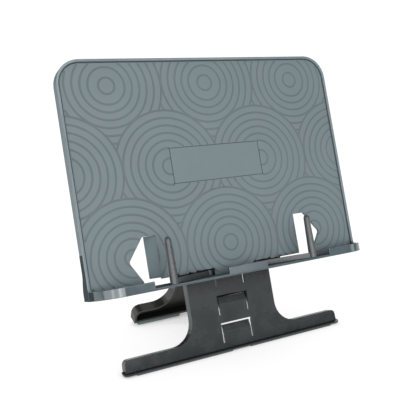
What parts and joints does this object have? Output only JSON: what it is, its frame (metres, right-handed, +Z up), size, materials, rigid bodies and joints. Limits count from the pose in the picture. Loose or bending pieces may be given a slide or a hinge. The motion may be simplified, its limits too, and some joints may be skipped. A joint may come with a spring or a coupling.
{
  "type": "reading stand",
  "caption": "Folding plastic reading stand: tilted page tray with a lipped ledge and swinging page holders, sliding on a front leg with a hinged rear leg.",
  "frame": {"origin": "on the surface it stands on, below the middle of the object's box", "axes": "+X to the reader's right along the tray, +Y away from the reader, +Z up"},
  "size_m": [0.34, 0.1396, 0.3185],
  "materials": {
    "page_tray": "satin slate blue, moulded",
    "guide_frame": "satin charcoal, moulded",
    "front_leg": "satin charcoal, moulded",
    "rear_leg": "satin charcoal, moulded",
    "page_holder_left": "satin umber, moulded",
    "page_holder_right": "satin umber, moulded",
    "front_pad_left": "grey, matt",
    "front_pad_right": "grey, matt",
    "rear_pad_left": "grey, matt",
    "rear_pad_right": "grey, matt",
    "leg_hinge_pin": "plain bright",
    "leg_hinge_clip": "plain bright",
    "holder_pin_left": "plain bright",
    "holder_pin_right": "plain bright",
    "holder_clip_left": "plain bright",
    "holder_clip_right": "plain bright",
    "guide_screw_lower_left": "plain bright",
    "guide_screw_lower_right": "plain bright",
    "guide_screw_upper_left": "plain bright",
    "guide_screw_upper_right": "plain bright"
  },
  "bodies": {
    "front_leg": {"front_leg": "front_leg", "front_pad_left": "front_pad_left", "front_pad_right": "front_pad_right", "leg_hinge_pin": "leg_hinge_pin", "leg_hinge_clip": "leg_hinge_clip"},
    "rear_leg": {"rear_leg": "rear_leg", "rear_pad_left": "rear_pad_left", "rear_pad_right": "rear_pad_right"},
    "tray": {"page_tray": "page_tray", "guide_frame": "guide_frame", "guide_screw_lower_left": "guide_screw_lower_left", "guide_screw_lower_right": "guide_screw_lower_right", "guide_screw_upper_left": "guide_screw_upper_left", "guide_screw_upper_right": "guide_screw_upper_right", "holder_pin_left": "holder_pin_left", "holder_pin_right": "holder_pin_right", "holder_clip_left": "holder_clip_left", "holder_clip_right": "holder_clip_right"},
    "holder_left": {"page_holder_left": "page_holder_left"},
    "holder_right": {"page_holder_right": "page_holder_right"}
  },
  "joints": [
    {"name": "height_slide", "type": "slide", "parent": "front_leg", "child": "tray", "axis": [0, 0.342, 0.9397], "range_m": [-0.0622, 0]},
    {"name": "rear_leg_fold", "type": "hinge", "parent": "front_leg", "child": "rear_leg", "pos_m": [0, 0.0139, 0.15728], "axis": [1, 0, 0], "range_deg": [-35, 0]},
    {"name": "holder_left_swing", "type": "hinge", "parent": "tray", "child": "holder_left", "pos_m": [-0.0308, -0.03376, 0.08918], "axis": [0, 0.342, 0.9397], "range_deg": [-26.8, 64.8]},
    {"name": "holder_right_swing", "type": "hinge", "parent": "tray", "child": "holder_right", "pos_m": [0.0308, -0.03376, 0.08918], "axis": [0, 0.342, 0.9397], "range_deg": [-64.8, 26.8]}
  ]
}
